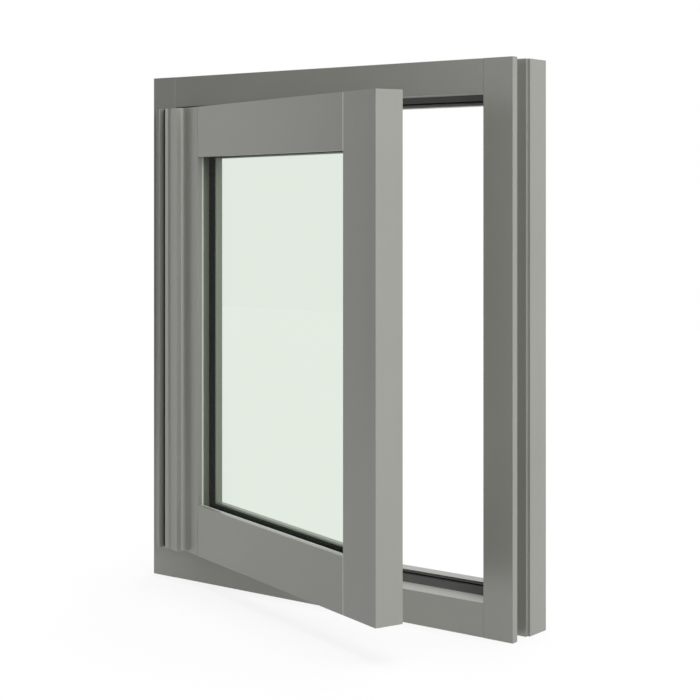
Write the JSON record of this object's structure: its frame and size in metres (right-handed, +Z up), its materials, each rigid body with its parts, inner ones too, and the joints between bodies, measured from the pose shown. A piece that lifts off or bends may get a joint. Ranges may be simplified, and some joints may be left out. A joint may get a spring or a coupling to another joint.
{
  "type": "bulletproof casement window",
  "caption": "Side-hung casement window with a thermally broken aluminium frame, thick laminated glass and a continuous hinge, its sash standing part open.",
  "frame": {"origin": "middle of the flat underside of the sill's rear leg", "axes": "+X to the right seen from the front, +Y into the wall, +Z up; the front faces -Y"},
  "size_m": [0.85, 0.362, 1],
  "materials": {
    "frame_paint": "satin grey metallic coating",
    "sash_paint": "satin grey metallic coating",
    "hinge_paint": "satin grey metallic coating",
    "break_polyamide": "matt black",
    "seal_rubber": "matt dark grey",
    "gasket_rubber": "matt black",
    "glazing_tape": "pale satin",
    "glass": "clear, faint green",
    "block_plastic": "matt black",
    "plug_plastic": "matt dark grey"
  },
  "bodies": {
    "root": {"armoured_glass": "glass", "bottom_glazing_bead": "sash_paint", "bottom_glazing_gasket": "gasket_rubber", "bottom_glazing_tape": "glazing_tape", "bottom_rail": "sash_paint", "head_front_shell": "frame_paint", "head_rear_shell": "frame_paint", "head_thermal_break": "break_polyamide", "head_weather_seal": "seal_rubber", "hinge_frame_leaf": "hinge_paint", "hinge_sash_leaf": "hinge_paint", "hinge_slot_strip": "gasket_rubber", "hinge_stile": "sash_paint", "hinge_stile_end_plugs": "plug_plastic", "left_glazing_bead": "sash_paint", "left_glazing_gasket": "gasket_rubber", "left_glazing_tape": "glazing_tape", "left_jamb_front_shell": "frame_paint", "left_jamb_rear_shell": "frame_paint", "left_jamb_thermal_break": "break_polyamide", "left_jamb_weather_seal": "seal_rubber", "lock_stile": "sash_paint", "lock_stile_end_plugs": "plug_plastic", "right_glazing_bead": "sash_paint", "right_glazing_gasket": "gasket_rubber", "right_glazing_tape": "glazing_tape", "right_jamb_front_shell": "frame_paint", "right_jamb_rear_shell": "frame_paint", "right_jamb_thermal_break": "break_polyamide", "right_jamb_weather_seal": "seal_rubber", "setting_blocks": "block_plastic", "sill_front_shell": "frame_paint", "sill_rear_shell": "frame_paint", "sill_thermal_break": "break_polyamide", "sill_weather_seal": "seal_rubber", "top_glazing_bead": "sash_paint", "top_glazing_gasket": "gasket_rubber", "top_glazing_tape": "glazing_tape", "top_rail": "sash_paint"}
  },
  "joints": []
}
